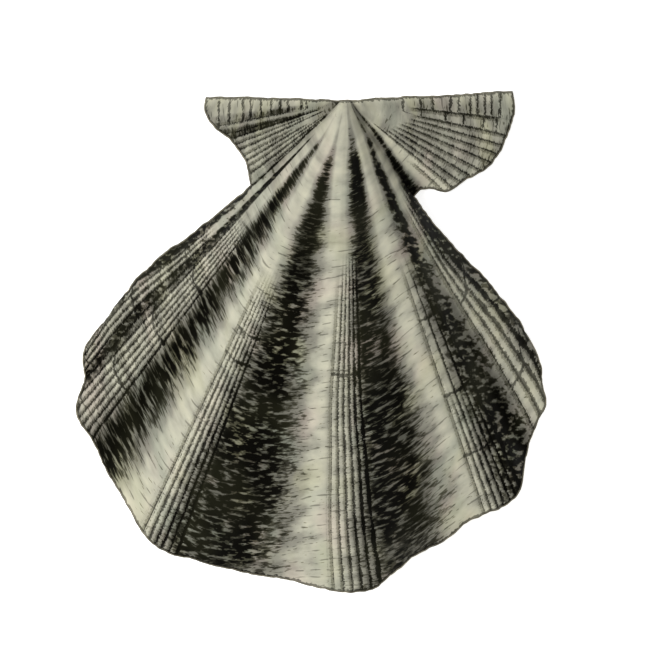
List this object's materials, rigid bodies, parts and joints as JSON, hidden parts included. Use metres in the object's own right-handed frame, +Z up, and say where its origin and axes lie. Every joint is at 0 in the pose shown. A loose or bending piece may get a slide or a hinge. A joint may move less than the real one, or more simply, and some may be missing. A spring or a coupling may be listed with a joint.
{
  "type": "fossil scallop",
  "caption": "Single fossil scallop valve with broad folded ribs, fine riblets along their crests, unequal ears on a straight hinge line and a hollow underside, lying domed side up.",
  "frame": {"origin": "bottom centre of the bounding box, on the surface that the valve lies on", "axes": "+Z up from the surface to the domed outer face, +Y from the margin towards the hinge line, +X towards the larger ear"},
  "size_m": [0.1, 0.1068, 0.029],
  "materials": {
    "fossil_shell": "dull fossil shell (calcite), cream on the rib flanks and umbo, with dark brown-black mineral stain in the furrows and riblet grooves"
  },
  "bodies": {
    "root": {"valve": "fossil_shell"}
  },
  "joints": []
}
